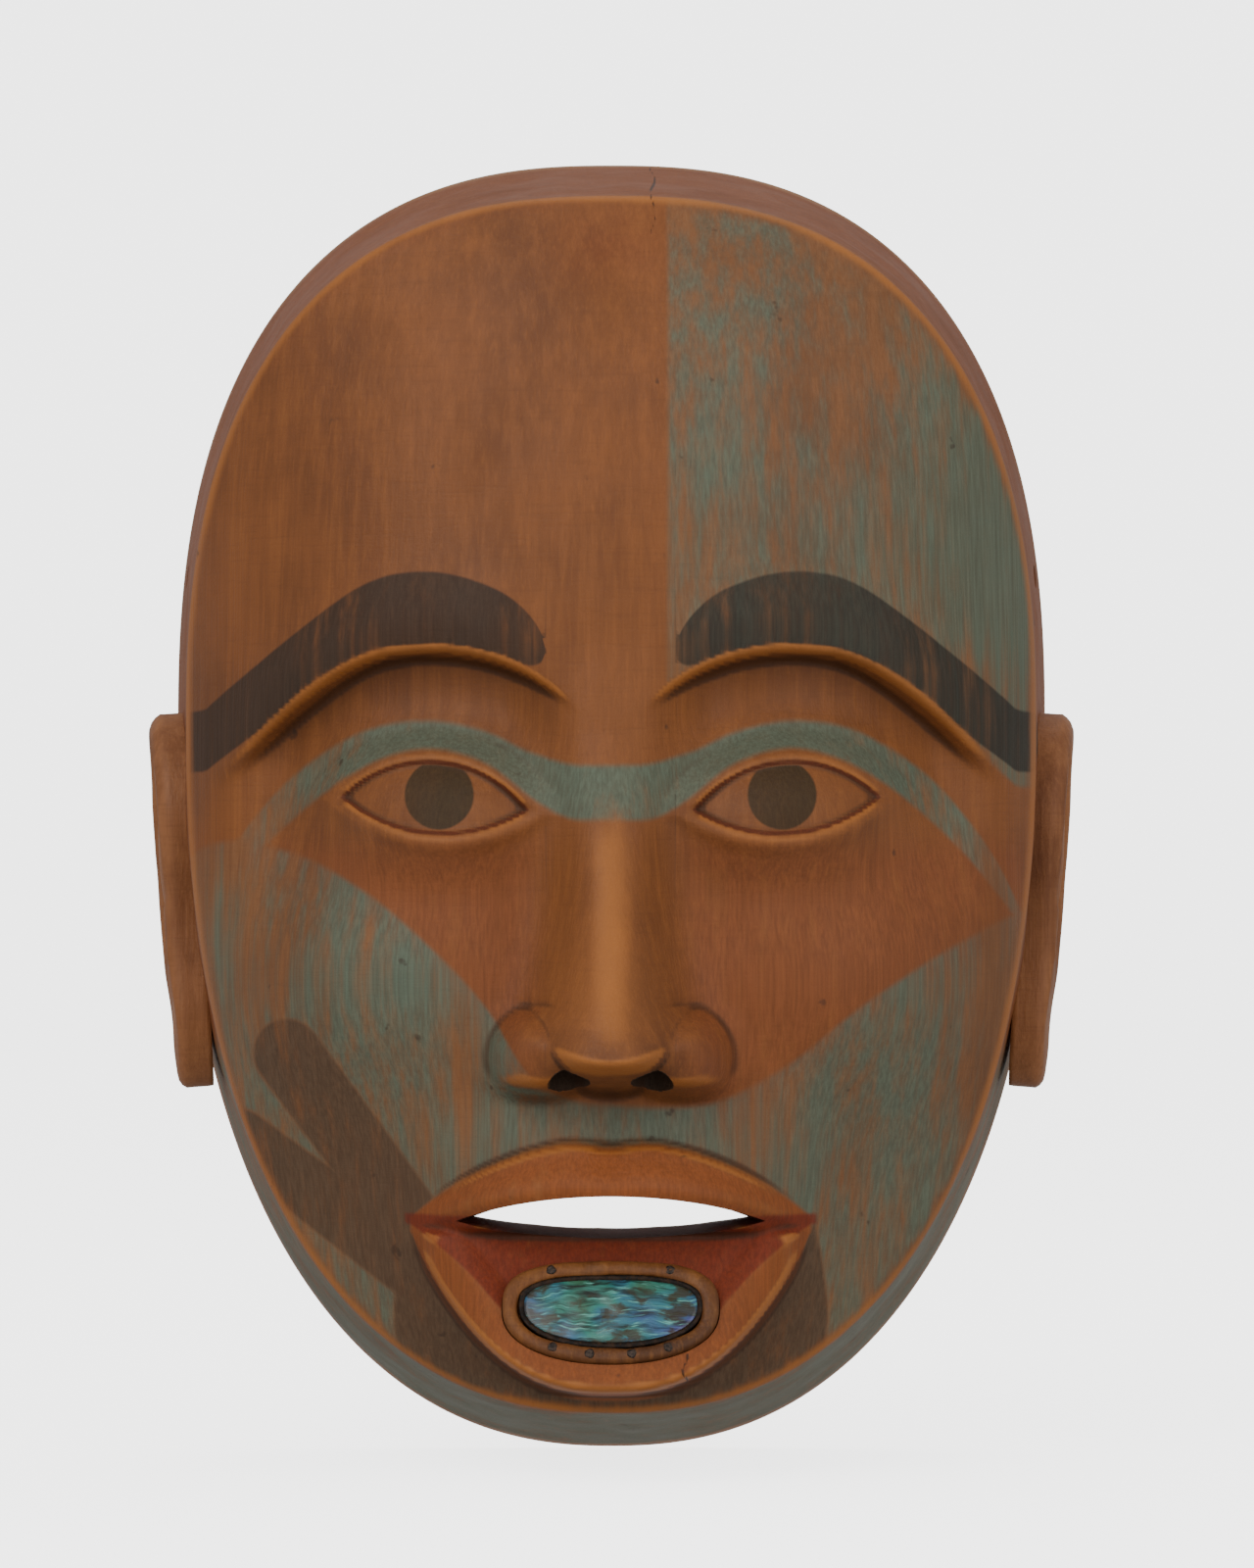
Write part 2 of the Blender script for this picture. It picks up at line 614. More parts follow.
def ring_net():
    """The wooden ring and the plug behind it, its edges rounded and cut a little unevenly."""
    profile = (
        (3.4, -11.5), (3.4, -4.0), (0.3, -3.8), (0.15, -1.2), (0.3, -0.5), (0.8, -0.1), (1.6, 0.0),
        (2.4, -0.05), (2.9, -0.3), (3.15, -0.8), (3.3, -2.85),
    )
    rings = []
    for inset, out in profile:
        u, v = oval(inset)
        turn = np.arctan2(v, u)
        if inset > 2.5 and out > -4:
            cut = 0.16 * np.sin(3 * turn + 1) + 0.12 * np.sin(7 * turn) + 0.08 * np.sin(13 * turn + 2)
            u, v = u * (1 - cut / 14), v * (1 - cut / 9)
        dip = 0.10 * np.sin(5 * turn) + 0.08 * np.sin(11 * turn + 1) - 0.18 if out > -1.5 else 0.0
        rings.append(labret_point(u, v, out + dip))
    return Net().loft(rings)


def inlay_net():
    """The shell plate: ground nearly flat, a little domed, with its edge eased."""
    rings = [labret_point(*oval(4.05), -2.2), labret_point(*oval(4.0), -0.85)]
    for share in (0.0, 0.06, 0.14, 0.25, 0.4, 0.55, 0.7, 0.85, 0.97):
        u, v = (part * (1 - share) for part in oval(4.05))
        dome = 0.36 * (1 - (1 - share) ** 4) - 0.68
        relief = 0.07 * np.sin(u * 0.9 + 1.3 * np.sin(v * 0.8)) * (1 - (1 - share) ** 6)
        rings.append(labret_point(u, v, dome + relief))
    return Net().loft(rings)


def pitch_net():
    """The dark pitch between the shell and the ring, smeared over the ring in places."""
    turn = np.linspace(0, 2 * math.pi, 120, endpoint=False)
    low = np.clip(-np.sin(turn), 0, 1) ** 2
    lump = 0.12 * np.sin(5 * turn + 0.6) + 0.1 * np.sin(9 * turn + 2) + 0.06 * np.sin(17 * turn)
    smear = 0.35 * low + np.clip(lump, 0, 1)
    net = Net()
    foot = ((4.0, -2.7), (3.4, -2.7), (3.3, -0.9))
    rings = [net.put(*labret_point(*oval(inset), out)) for inset, out in foot]
    for inset, out in ((3.2, -0.45), (3.5, -0.3), (3.9, -0.35), (4.2, -0.6), (4.4, -1.2)):
        u, v = oval(inset)
        pull = smear * max(0.0, 4.0 - inset)
        u, v = u * (1 + pull / 16), v * (1 + pull / 10)
        rings.append(net.put(*labret_point(u, v, out + 0.25 * smear - 0.1)))
    for one, other in zip(rings, rings[1:] + rings[:1]):
        net.band(one, other)
    return net


def pins_net():
    """Six small pins with flat heads filed off by hand."""
    profile = (
        (0.5, -7.6), (0.5, -0.6), (0.55, -0.35), (0.9, -0.12), (0.88, 0.02), (0.5, 0.08), (0.1, 0.05),
    )
    net = Net()
    turn = np.linspace(0, 2 * math.pi, 20, endpoint=False)
    u, v = oval(RING_WIDTH / 2, 3600)
    for number, angle in enumerate(PIN_ANGLES):
        at = round(angle * 10)
        lean = 0.12 * math.sin(2.1 * number)
        rings = []
        for radius, out in profile:
            uneven = radius * (1 + 0.07 * np.cos(3 * turn + number) + 0.05 * np.cos(5 * turn))
            across, up = uneven * np.cos(turn), uneven * np.sin(turn)
            tipped = lean * across if out > -0.2 else 0.0
            rings.append(labret_point(u[at] + across, v[at] + up, out + tipped - 0.15))
        net.loft(rings)
    return net


# ---- the ears ----
EAR_SHAPE = (
    (-0.86, 0.52), (-0.40, 0.93), (0.30, 1.00), (0.86, 0.66), (1.00, 0.16), (0.80, -0.28),
    (0.40, -0.66), (0.02, -0.95), (-0.52, -0.97), (-0.84, -0.66), (-0.74, -0.10),
)


def ear_outline(count=144):
    """Smooth closed outline of the right ear: across it towards the back, and up."""
    corners = np.array(EAR_SHAPE) * (EAR_WIDTH / 2, EAR_HEIGHT / 2)
    at = np.linspace(0, len(corners), count, endpoint=False)
    k, t = at.astype(int), (at % 1)[:, None]
    before, here, ahead, beyond = (corners[(k + n) % len(corners)] for n in (-1, 0, 1, 2))
    return 0.5 * (
        2 * here
        + (ahead - before) * t
        + (2 * before - 5 * here + 4 * ahead - beyond) * t**2
        + (3 * here - before - 3 * ahead + beyond) * t**3
    )


def ear_relief(u, v, inside):
    """Height of the carved ear over its seat, inside being the distance from its outline."""
    tall = EAR_THICKNESS - 0.9
    rim = 0.8 * np.exp(-(((inside - 2.6) / 1.5) ** 2)) * over(v + 16, 16)
    scapha = 1.5 * np.exp(-(((inside - 6.0) / 1.7) ** 2)) * over(v + 8, 12) * over(u + 9, 7)
    bowl = 3.0 * np.exp(-(np.hypot((u + 2.5) / 7.0, (v + 3.5) / 11.5) ** 3.2))
    fold = 0.8 * np.exp(-(np.hypot((u - 4.5) / 2.6, (v + 1) / 15) ** 2.4))
    knob = 1.5 * np.exp(-(np.hypot((u + 11) / 2.6, (v + 5) / 4.6) ** 2.6))
    lobe = 0.5 * np.exp(-(np.hypot((u + 4) / 5, (v + 27) / 6) ** 2.2))
    knife = 0.10 * ripple(u, v, 9, 3)
    return np.minimum(tall + rim - scapha - bowl + fold + knob + lobe + knife, EAR_THICKNESS - 0.1)


def ear_net(side):
    """One ear slab, carved on its outer face, in its own seat's plane."""
    low, high = (np.array(corner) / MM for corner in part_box("ear_left" if side < 0 else "ear_right"))
    lean, draft = math.radians(EAR_LEAN), math.atan(SIDE_DRAFT)
    upright = math.cos(lean)
    back = np.array((side * math.sin(draft), math.cos(draft), 0.0))
    out = np.array((side * math.cos(draft) * upright, -math.sin(draft) * upright, -math.sin(lean)))
    rise = np.cross(out, back) * side
    middle = (low + high) / 2 - out * EAR_THICKNESS / 2
    edge, centre = ear_outline(), np.array((-0.5, 1.0))
    reach = np.hypot(*(edge - centre).T)
    rings, sunk = [], []

    def put_ring(flat, height):
        height = np.broadcast_to(height, len(flat))
        rings.append((middle + flat[:, :1] * back + flat[:, 1:] * rise + height[:, None] * out).T)

    for inset, height in ((0.15, 0.1), (0.1, 1.0), (0.1, EAR_THICKNESS - 3.2)):
        put_ring(centre + (edge - centre) * (1 - inset / 20), height)
        sunk.append(np.zeros(len(edge)))
    for share in np.concatenate([[0.004, 0.02, 0.045, 0.08], np.linspace(0.12, 0.97, 34)]):
        flat = centre + (edge - centre) * (1 - share)
        inside = share * reach * 0.86
        carved = ear_relief(*flat.T, inside)
        rounding = 2.2 * (1 - np.sqrt(1 - (1 - np.clip(inside / 2.2, 0, 1)) ** 2))
        put_ring(flat, carved - rounding)
        sunk.append(np.clip((EAR_THICKNESS - 1.2 - carved) / 2.6, 0, 0.9))
    net = Net().loft(rings)
    net.numbers["grime"] = np.concatenate(sunk)
    return net


# ---- materials ----
EASED = {"interpolation_type": "SMOOTHSTEP"}
BLEND = {"data_type": "RGBA", "out": 2}
SCALED_SUM = {"operation": "MULTIPLY_ADD"}
PRODUCT = {"operation": "MULTIPLY"}
OILED = {"IOR": 1.5, "Specular IOR Level": 0.22}  # oil soaked in and dulled by handling

# Noise patterns: size across the grain and along it in mm, and detail. Alder's fibres are finer than
# 1 mm and drawn out ten times or more, and its growth bands lie 6 to 14 mm apart. Marks of knife and
# brush are 0.3 to 0.4 mm wide, and are drawn twice as coarse so that they show.
ALDER = {
    "fibre": (0.55, 30, 3),
    "streak": (2.4, 80, 4),
    "blotch": (26, 34, 4),
    "brush": (0.7, 0.55, 1),
    "patch": (22, 42, 5),
    "weft": (9, 0.8, 2),
}


def linear(code):
    """Linear colour from an sRGB hex value such as 8A5530."""
    parts = [int(code[k : k + 2], 16) / 255 for k in (0, 2, 4)]
    return tuple(c / 12.92 if c <= 0.04045 else ((c + 0.055) / 1.055) ** 2.4 for c in parts)


def add(tree, kind, sockets=None, out=0, **settings):
    """Adds a node. Sockets maps an input to its value or to what feeds it; out is the output wanted."""
    made = tree.nodes.new("ShaderNode" + kind)
    for setting, value in settings.items():
        setattr(made, setting, value)
    for key, value in (sockets or {}).items():
        if isinstance(value, bpy.types.NodeSocket):
            tree.links.new(value, made.inputs[key])
        else:
            made.inputs[key].default_value = value
    return made.outputs[out]


def start(name, kinds, bend=None):
    """A new material and its noise patterns. Bend has the size and reach in mm of a noise bending them."""
    material = bpy.data.materials.new(name)
    material.use_nodes = True
    tree = material.node_tree
    place = add(tree, "TexCoord", out="Object")
    found = {"place": place}
    if bend:
        push = add(tree, "TexNoise", {"Vector": place, "Scale": 1 / (bend[0] * MM), "Detail": 2.0}, 1)
        place = add(tree, "Mix", {0: bend[1] * MM, 4: place, 5: push}, 1, data_type="VECTOR")
    for kind, (across, along, detail) in kinds.items():
        scale = (1 / (across * MM), 1 / (across * MM), 1 / (along * MM))
        sized = add(tree, "Mapping", {"Vector": place, "Scale": scale})
        found[kind] = add(tree, "TexNoise", {"Vector": sized, "Scale": 1.0, "Detail": detail, "Roughness": 0.6})
    return material, tree, found


def lay(tree, colour, *coats):
    """Lays colours over one another. Each has the pattern that shows it, the value where it starts to
    show, the value where it shows most, how much that is, and its sRGB hex value."""
    for pattern, none_at, most_at, most, code in coats:
        amount = add(tree, "MapRange", {0: pattern, 1: none_at, 2: most_at, 4: most}, **EASED)
        colour = add(tree, "Mix", {0: amount, 6: colour, 7: (*linear(code), 1)}, **BLEND)
    return colour


def surface(material, colour, rough, height, relief, fixed):
    """Joins colour, roughness and bumps to the shader, and sets on its sockets what is the same all over.

    Rough has a pattern, two values of it and the roughness at each. Relief has the bumps' strength
    and their depth in mm.
    """
    tree = material.node_tree
    shader = tree.nodes["Principled BSDF"]
    dull = add(tree, "MapRange", dict(enumerate(rough)), **EASED)
    bump = add(tree, "Bump", {"Strength": relief[0], "Distance": relief[1] * MM, "Height": height})
    for socket, value in (("Base Color", colour), ("Roughness", dull), ("Normal", bump)):
        tree.links.new(value, shader.inputs[socket])
    for socket, value in fixed.items():
        shader.inputs[socket].default_value = value
    return material


def planed_alder(tree, found, dark, middle, light):
    """Colour and height of hand-planed alder: long fine fibres, soft streaks and faint marks across them."""
    colour = lay(
        tree,
        (*linear(dark), 1),
        (found["blotch"], 0.22, 0.66, 1.0, middle),
        (found["streak"], 0.40, 0.76, 0.30, light),
        (found["fibre"], 0.50, 0.72, 0.18, light),
        (found["fibre"], 0.46, 0.26, 0.28, dark),
        (found["weft"], 0.48, 0.30, 0.18, dark),
    )
    height = add(tree, "Math", {0: found["weft"], 1: 0.5, 2: found["fibre"]}, **SCALED_SUM)
    return colour, add(tree, "Math", {0: found["brush"], 1: 0.5, 2: height}, **SCALED_SUM)


def painted_wood(colours):
    """Carved alder, thinly painted by hand and worn: the grain shows through the paint, which has gone
    from the edges and lies in rubbed, streaky patches elsewhere; waxy and dull, never glossy."""
    material, tree, found = start("Alder_carved_and_painted_worn", ALDER)
    colour, height = planed_alder(tree, found, "5F371C", "754523", "93592C")
    numbers = {
        name: add(tree, "Attribute", out="Fac", attribute_name=name)
        for name in (*PAINTS, "wear", "grime", "thin", "back", "crack")
    }

    # the edges of the paint wander with the grain, and it is rubbed along the grain and in patches
    wobble = add(tree, "Math", {0: found["patch"], 1: 0.5}, operation="SUBTRACT")
    fray = add(tree, "Math", {0: found["streak"], 1: 1.2, 2: -0.6}, **SCALED_SUM)
    fray = add(tree, "Math", {0: wobble, 1: 1.6, 2: fray}, **SCALED_SUM)
    rubbed = add(tree, "Math", {0: found["streak"], 1: 0.45}, **PRODUCT)
    rubbed = add(tree, "Math", {0: found["patch"], 1: 0.55, 2: rubbed}, **SCALED_SUM)
    rubbed = add(tree, "Math", {0: numbers["wear"], 1: 0.22, 2: rubbed}, **SCALED_SUM)
    rubbed = add(tree, "Math", {0: numbers["thin"], 1: 0.16, 2: rubbed}, **SCALED_SUM)

    # each coat covers its area where it isn't rubbed off, lighter and darker with the fibres under it
    uneven = add(tree, "MapRange", {0: found["blotch"], 1: 0.25, 2: 0.75, 3: 0.82, 4: 1.0}, **EASED)
    grain = add(tree, "MapRange", {0: found["fibre"], 1: 0.3, 2: 0.7}, **EASED)
    painted = 0.0
    for name, (tint, soft, worn, bare, solid) in PAINTS.items():
        tint = getattr(colours, tint)
        area = add(tree, "Math", {0: fray, 1: 0.35 * min(soft, 2.0), 2: numbers[name]}, **SCALED_SUM)
        area = add(tree, "MapRange", {0: area, 1: -soft / 2, 2: soft / 2}, **EASED)
        gone = 0.72 - 0.21 * worn
        left = {0: rubbed, 1: gone - 0.16, 2: gone + 0.12, 3: solid, 4: solid * (1 - bare)}
        keep = add(tree, "MapRange", left, **EASED)
        amount = add(tree, "Math", {0: area, 1: keep}, **PRODUCT)
        amount = add(tree, "Math", {0: amount, 1: uneven}, **PRODUCT)
        low, high = ((*(share * part for part in tint), 1) for share in (0.78, 1.14))
        shown = add(tree, "Mix", {0: grain, 6: low, 7: high}, **BLEND)
        colour = add(tree, "Mix", {0: amount, 6: colour, 7: shown}, **BLEND)
        painted = add(tree, "Math", {0: painted, 1: amount}, operation="MAXIMUM")

    # over it all: bared and soiled wood, the unpainted back, small nicks, and two drying cracks
    nick = add(tree, "TexNoise", {"Vector": found["place"], "Scale": 1 / (5.4 * MM), "Detail": 3.0})
    rubbed_bare, soiled, split = (
        add(tree, "Math", {0: wobble, 1: share, 2: numbers[name]}, **SCALED_SUM)
        for name, share in (("wear", 0.8), ("grime", 0.8), ("crack", 0.5))
    )
    colour = lay(
        tree,
        colour,
        (rubbed_bare, 0.30, 1.15, 0.68, "A4642C"),
        (soiled, 0.25, 1.30, 0.75, "3A2416"),
        (numbers["back"], 0.0, 1.0, 0.70, "946840"),
        (nick, 0.71, 0.77, 0.6, "33241A"),
        (split, 0.32, 0.10, 0.85, "2A1A10"),
    )
    cuts = add(tree, "MapRange", {0: split, 1: 0.32, 2: 0.10, 3: 0, 4: -3.0}, **EASED)
    height = add(tree, "Math", {0: height, 1: cuts}, operation="ADD")
    dull = add(tree, "Math", {0: painted, 1: 0.25, 2: found["patch"]}, **SCALED_SUM)
    return surface(material, colour, (dull, 0.3, 0.95, 0.50, 0.76), height, (0.35, 0.35), OILED)


def stained_alder(name, dark, middle, light, depth):
    """Alder stained or handled until it is even and dull: only the grain and the dirt in its hollows show."""
    material, tree, found = start(name, ALDER)
    colour, height = planed_alder(tree, found, dark, middle, light)
    grime = add(tree, "Attribute", out="Fac", attribute_name="grime")
    soiled = add(tree, "Math", {0: found["patch"], 1: 0.4, 2: grime}, **SCALED_SUM)
    colour = lay(tree, colour, (soiled, 0.5, 1.5, 0.55, "33200F"))
    return surface(material, colour, (found["patch"], 0.3, 0.7, 0.45, 0.62), height, (0.35, depth), OILED)


def ground_shell():
    """Abalone ground and polished: wavy layers of green, blue and violet over dark, under a clear gloss."""
    # the layers crop out as wavy bands 1 to 3 mm apart, and their colour drifts over 8 mm or so
    kinds = {
        "drift": (9, 6, 1),
        "layer": (9, 1.8, 3),
        "glint": (6, 0.6, 3),
        "growth": (6, 0.35, 2),
        "stain": (6, 3.4, 4),
    }
    material, tree, found = start("Abalone_shell_ground_and_polished", kinds, (7.0, 3.5))
    # olive at one end, green along the top, and blue and violet towards the other end and the bottom
    axes = add(tree, "SeparateXYZ", {0: found["place"]})
    down = add(tree, "Math", {0: axes.node.outputs[2], 1: -9.0, 2: -0.77}, **SCALED_SUM)
    across = add(tree, "Math", {0: axes.node.outputs[0], 1: 6.0, 2: down}, **SCALED_SUM)
    drift = add(tree, "Math", {0: found["drift"], 1: 0.9, 2: across}, **SCALED_SUM)
    hue = add(tree, "ValToRGB", {0: drift})
    hues = (
        (0.06, "4A4522"), (0.26, "3A5B3E"), (0.42, "2F7468"),
        (0.56, "2E5F78"), (0.70, "41467E"), (0.88, "453A2A"),
    )
    stops = hue.node.color_ramp.elements
    while len(stops) < len(hues):
        stops.new(0.5)
    for stop, (at, code) in zip(stops, hues):
        stop.position, stop.color = at, (*linear(code), 1)
    body = add(tree, "MapRange", {0: found["layer"], 1: 0.36, 2: 0.58, 3: 0.1}, **EASED)
    colour = add(tree, "Mix", {0: body, 6: (*linear("1C1A14"), 1), 7: hue}, **BLEND)
    colour = lay(
        tree,
        colour,
        (found["glint"], 0.54, 0.72, 0.65, "7CC9B8"),
        (found["growth"], 0.50, 0.36, 0.55, "16120E"),
        (found["stain"], 0.50, 0.62, 0.85, "33270F"),
    )
    rough = (found["growth"], 0.3, 0.7, 0.20, 0.34)
    fixed = {"IOR": 1.56, "Specular IOR Level": 0.25, "Coat Weight": 0.12, "Coat Roughness": 0.1}
    return surface(material, colour, rough, found["layer"], (0.3, 0.15), fixed)


def tree_pitch():
    """Spruce pitch set hard: brown-black, smooth where it pooled and dusty where it was smeared."""
    # it pooled in lumps 1 to 2 mm across, and the dust stuck in it is finer than 0.5 mm
    material, tree, found = start("Spruce_pitch_set", {"pool": (1.6, 1.6, 3), "dust": (0.5, 0.5, 3)})
    colour = lay(
        tree,
        (*linear("120C08"), 1),
        (found["pool"], 0.4, 0.7, 1.0, "2E1E12"),
        (found["dust"], 0.55, 0.75, 0.35, "5E3F22"),
    )
    fixed = {"IOR": 1.54, "Specular IOR Level": 0.15}
    rough = (found["dust"], 0.35, 0.65, 0.45, 0.75)
    return surface(material, colour, rough, found["pool"], (0.5, 0.3), fixed)


def old_iron():
    """Iron pins gone dark: a brown-black skin, brighter where the file cut."""
    # the rust's grains are about 0.5 mm across and the file's cuts 0.1 mm apart
    kinds = {"scale": (0.5, 0.5, 3), "filed": (0.12, 1.2, 2)}
    material, tree, found = start("Iron_filed_and_darkened", kinds)
    colour = lay(
        tree,
        (*linear("1A1512"), 1),
        (found["scale"], 0.35, 0.65, 1.0, "3D2C20"),
        (found["filed"], 0.58, 0.75, 0.4, "6B625A"),
    )
    metal = add(tree, "MapRange", {0: found["scale"], 1: 0.4, 2: 0.7, 3: 0.6, 4: 0.1}, **EASED)
    tree.links.new(metal, tree.nodes["Principled BSDF"].inputs["Metallic"])
    return surface(material, colour, (found["scale"], 0.3, 0.7, 0.45, 0.75), found["scale"], (0.4, 0.1), {})


# ---- where the paint lies: distances inside each painted area, in millimetres ----
def cheek_band(x, z, start_at, end_at, start_radius, end_radius):
    """Distance inside a plain band that tapers between two round ends."""
    run, rise = end_at[0] - start_at[0], end_at[1] - start_at[1]
    along = np.clip(((x - start_at[0]) * run + (z - start_at[1]) * rise) / (run**2 + rise**2), 0, 1)
    gap = np.hypot(x - start_at[0] - along * run, z - start_at[1] - along * rise)
    return start_radius + (end_radius - start_radius) * along - gap


def brow_band(ax, z):
    """Distance inside the painted brow, which is round at its inner end and narrows outwards."""
    lower = brow_edge(ax) + 0.9 + 3.5 * step((ax - 50) / 30)
    end = np.clip((ax - 12) / 10, 0, 1)
    half = through(ax, (12, 5.8), (34, 7.2), (60, 6.6), (84, 5.4))
    rounded = half * (1 - (1 - end) ** 2.3) ** (1 / 2.3)
    return np.where(ax > 12, rounded - np.abs(z - lower - half), ax - 12)


def green_area(x, z):
    """Blue-green: half the forehead, a band over the nose and eyelids, and the lower cheeks."""
    ax = np.abs(x)
    forehead = np.minimum(x - 10.6, z - brow_edge(ax) - 1.5)
    path = through(
        ax, (0, 2.5), (8, 3.0), (14, 5.5), (22, 10.4), (32, 13.2),
        (42, 12.0), (52, 7.0), (62, -1), (72, -13), (80, -26),
    )
    half = through(
        ax, (0, 5.0), (10, 4.8), (20, 3.2), (32, 2.6), (50, 3.6), (64, 3.8), (74, 2.4), (80, 0), (84, -2)
    )
    over_eyes = (half - np.abs(z - path)) * 0.9
    left = through(
        -x, (-6, -54), (6, -54), (14, -50), (22, -38), (34, -25), (48, -14), (62, -8), (74, -7), (84, -12)
    )
    right = through(
        x, (-6, -54), (8, -55), (20, -54), (32, -48), (46, -37), (60, -28), (74, -21), (84, -16)
    )
    cheeks = (np.where(x < 0, left, right) - z) * 0.8
    return np.maximum(np.maximum(forehead, over_eyes), cheeks)


def paint(piece, front_edge, cut):
    """Writes the painted areas, the wear and the grime on to the shell as numbers at its points."""
    mesh = piece.data
    flat = np.empty(len(mesh.vertices) * 3)
    mesh.vertices.foreach_get("co", flat)
    x, y, z = (flat.reshape(-1, 3) / MM).T
    ax, forward = np.abs(x), -y

    # how far each point is inside the face's edge, in front of it, and below the carved face
    turn, edge_radius, edge_depth = front_edge
    angle, share = in_outline(x, z, forward, 0.0)
    radius = np.hypot(x, z - WIDEST_AT)
    inside = np.interp(angle, turn, edge_radius) - radius
    proud = forward - np.interp(angle, turn, edge_depth)
    depth = face_depth(x, z)
    on_wall = (share > 0.97) & (proud < -0.6)
    sunk = np.where((inside > -1) & ~on_wall, depth - forward, 0.0)
    in_hollow = (in_outline(x, z, forward, RIM_WIDTH - 2.0)[1] < 1) & (forward < hollow_depth(x, z) + 1.2)
    behind = in_hollow | (forward < 1.4)
    in_mouth = cut & (ax < 32) & (z > -84) & (z < -70.5) & (forward > 71) & (sunk > 0.3)
    in_nostril = cut & (forward > 80) & (z > -58) & (z < -38)
    face = np.where(behind, -FAR, proud + 1.0)
    wall = np.where(behind | (share < 0.97), -FAR, -proud - 0.8)

    # the painted areas
    lips_alone = lips_inside(ax, z)
    low_lip = step((LIP_Z - 4 - z) / 6)
    lips = lips_alone + 1.7 * low_lip
    eye = eye_opening(ax, z)
    chin_side = through(-z, (74, 37.0), (84, 39.0), (97, 40.0), (112, 36.0), (124, 30.0))
    chin = np.minimum(chin_side - ax, -77 - z)
    one_band = cheek_band(x, z, (-35, -79), (-60, -46), 6.0, 6.6)
    other_band = cheek_band(x, z, (-38, -84), (-69, -62), 6.0, 5.4)
    dark = np.minimum(np.maximum.reduce([chin, one_band, other_band]), -lips)
    green = green_area(x, z)
    red = np.minimum(np.minimum(z - red_line(ax), LIP_Z + 1.0 - z), lips + 1.0)
    ruddy = np.minimum(np.minimum(ax - 16, -9 - z), -green) + 2
    ruddy = np.maximum(ruddy, 2 - np.hypot(x / 3, (z - 104) / 2))
    ruddy = np.maximum(np.minimum(ruddy, face), np.minimum(wall, (z + 46) * 0.6))

    # worn where the surface turns sharply outwards, dirty where it turns sharply inwards
    reach = 1.5
    near = ((reach, 0), (-reach, 0), (0, reach), (0, -reach))
    around = sum(face_depth(x + dx, z + dz) for dx, dz in near) / len(near)
    bend = np.where((inside > 3) & (sunk < 1.0), np.clip(depth - around, -3, 3), 0.0)
    from_edge = np.hypot(np.clip(inside, 0, None), np.clip(proud, None, 0))
    ridge = np.exp(-((x / 5.0) ** 2)) * over(-z, 20) * over(z + 44, 10)
    from_lips = lips_alone - 1.2 * low_lip
    lip_line = np.exp(-((from_lips / 0.9) ** 2)) * (inside > 3) * (1 - step((ax - 29) / 6))
    worn = (
        np.clip((bend - 0.1) * 2.0, 0, 1.0),
        np.exp(-((from_edge / 1.6) ** 2)) * (forward > 12),
        0.8 * np.exp(-(((forward - 0.6) / 1.4) ** 2)) * (radius > 60),
        0.8 * np.exp(-((np.abs(sunk - 0.6) / 1.0) ** 2)) * in_mouth,
        0.5 * lip_line,
        np.maximum(0.9 * ridge, 0.55 * hill(x, z, 0, -34, 15, 16, 3)),
    )
    in_deep = 0.9 * np.clip(sunk - 2.5, 0, 1) * ~(in_nostril | in_mouth | behind)
    thin = 0.7 * hill(x, z, 38, 82, 26, 22) + 0.5 * over(ax - 62, 22) * over(-5 - z, 20)
    thick = 0.6 * over(x - 60, 20) * over(z - 30, 20) + 1.2 * hill(ax, z, 20, 6, 34, 13, 4)
    crown_crack = np.where(z > 106, np.abs(x - 7.8 - 0.5 * np.sin(z * 0.7)), 9.0)
    in_lip = (z < -99.5) & (z > -106.5) & (x > 0)
    lip_crack = np.where(in_lip, np.abs(x - 13.6 - 0.5 * np.sin(z * 1.3)), 9.0)
    write_numbers(
        mesh,
        {
            "ruddy": ruddy,
            "jaw": np.minimum(wall, (-46 - z) * 0.6),
            "green": np.minimum(np.minimum(green, -np.maximum(lips, dark)), face),
            "dark": np.minimum(dark, face),
            "brow": np.minimum(brow_band(ax, z) + 0.45 * np.clip(proud, -12, 0), face + 10),
            "lips": np.minimum(lips, face),
            "red": np.where(in_mouth, 3.0, np.minimum(red, face)),
            "iris": np.minimum(np.minimum(6.4 - np.hypot(ax - 31.5, z - 2.2), eye - 0.5), face),
            "line": np.minimum(0.42 - np.abs(eye), face),
            "black": np.where(in_nostril, 3.0, -6.0),
            "wear": np.maximum.reduce(worn),
            "grime": np.maximum(np.clip(-bend * 1.6, 0, 1.4), in_deep),
            "thin": (thin - thick) * ~behind,
            "crack": np.minimum(crown_crack, lip_crack),
            "back": behind * 1.0,
        },
    )


# ---- settings ----
class MaskSizes(bpy.types.PropertyGroup):
    """Sizes of the carver's marks."""

    crease: bpy.props.FloatProperty(
        name="Carved edge",
        description="Width across which a sharp carved edge turns",
        default=CREASE * MM,
        unit="LENGTH",
    )
    worn_edge: bpy.props.FloatProperty(
        name="Worn edge",
        description="How far the block's corners are rubbed round",
        default=WORN_EDGE * MM,
        unit="LENGTH",
    )
    plane_marks: bpy.props.FloatProperty(
        name="Plane marks",
        description="Depth of the marks on the side walls",
        default=PLANE_MARKS * MM,
        unit="LENGTH",
    )


def colour_setting(name, description, code):
    """A colour that can be changed, its default an sRGB hex value."""
    return bpy.props.FloatVectorProperty(
        name=name, description=description, default=linear(code), subtype="COLOR", size=3
    )


